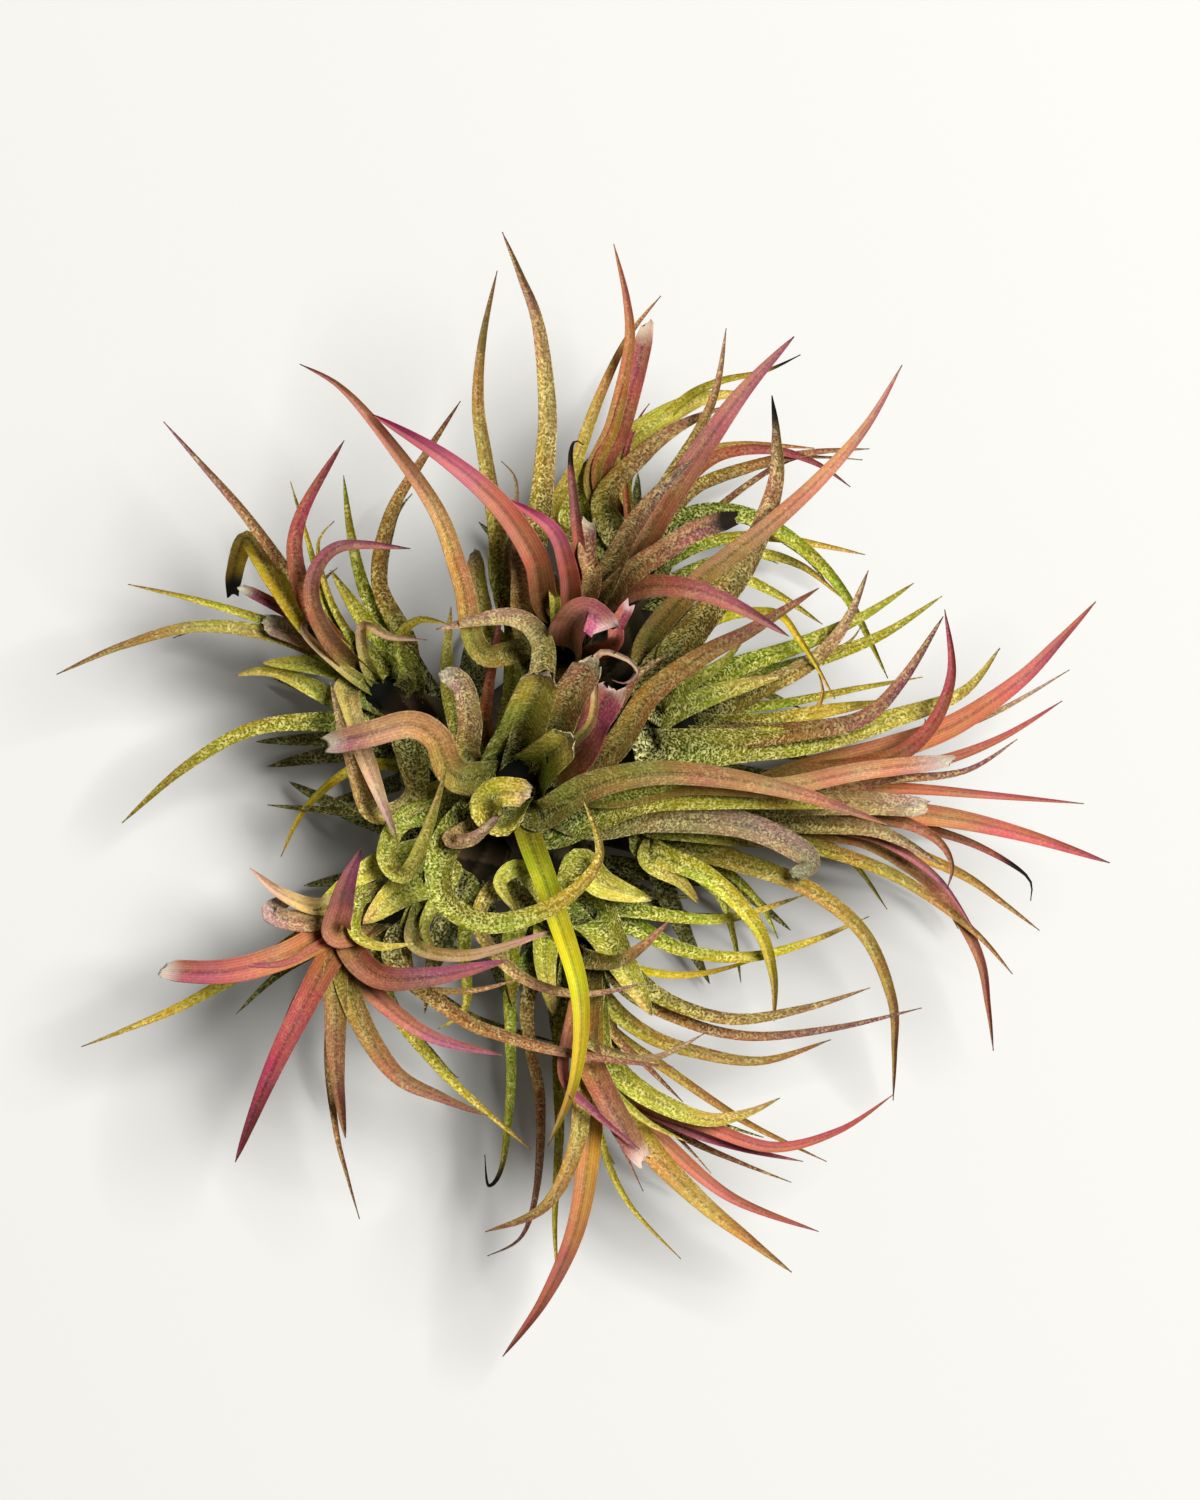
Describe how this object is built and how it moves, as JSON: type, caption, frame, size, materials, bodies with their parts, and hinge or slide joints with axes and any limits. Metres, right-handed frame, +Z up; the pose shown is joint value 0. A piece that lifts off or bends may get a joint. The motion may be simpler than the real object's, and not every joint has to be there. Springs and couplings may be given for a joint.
{
  "type": "air plant",
  "caption": "Clump of narrow-leaved air plant rosettes on a short woody rootstock, resting on a small flat spot.",
  "frame": {"origin": "on the flat rest face under the rootstock", "axes": "+Z up from the rest face, +Y along the clump's longest extent, +X across it"},
  "size_m": [0.1319, 0.1407, 0.0691],
  "materials": {
    "root_wood": "dry, rough woody stock",
    "leaf_centre": "matt frosted leaf, olive and peach",
    "leaf_top": "matt leaf, pink and rose",
    "leaf_back": "matt frosted leaf, olive and red",
    "leaf_east": "matt frosted leaf, green",
    "leaf_right": "matt leaf, coral",
    "leaf_bottom": "matt leaf, gold, coral and green",
    "leaf_lower_left": "matt leaf, orange and rose",
    "leaf_left": "matt frosted leaf, yellow and olive"
  },
  "bodies": {
    "root": {"rootstock": "root_wood", "head_centre": "leaf_centre", "head_top": "leaf_top", "head_back": "leaf_back", "head_east": "leaf_east", "head_right": "leaf_right", "head_bottom": "leaf_bottom", "head_lower_left": "leaf_lower_left", "head_left": "leaf_left"}
  },
  "joints": []
}
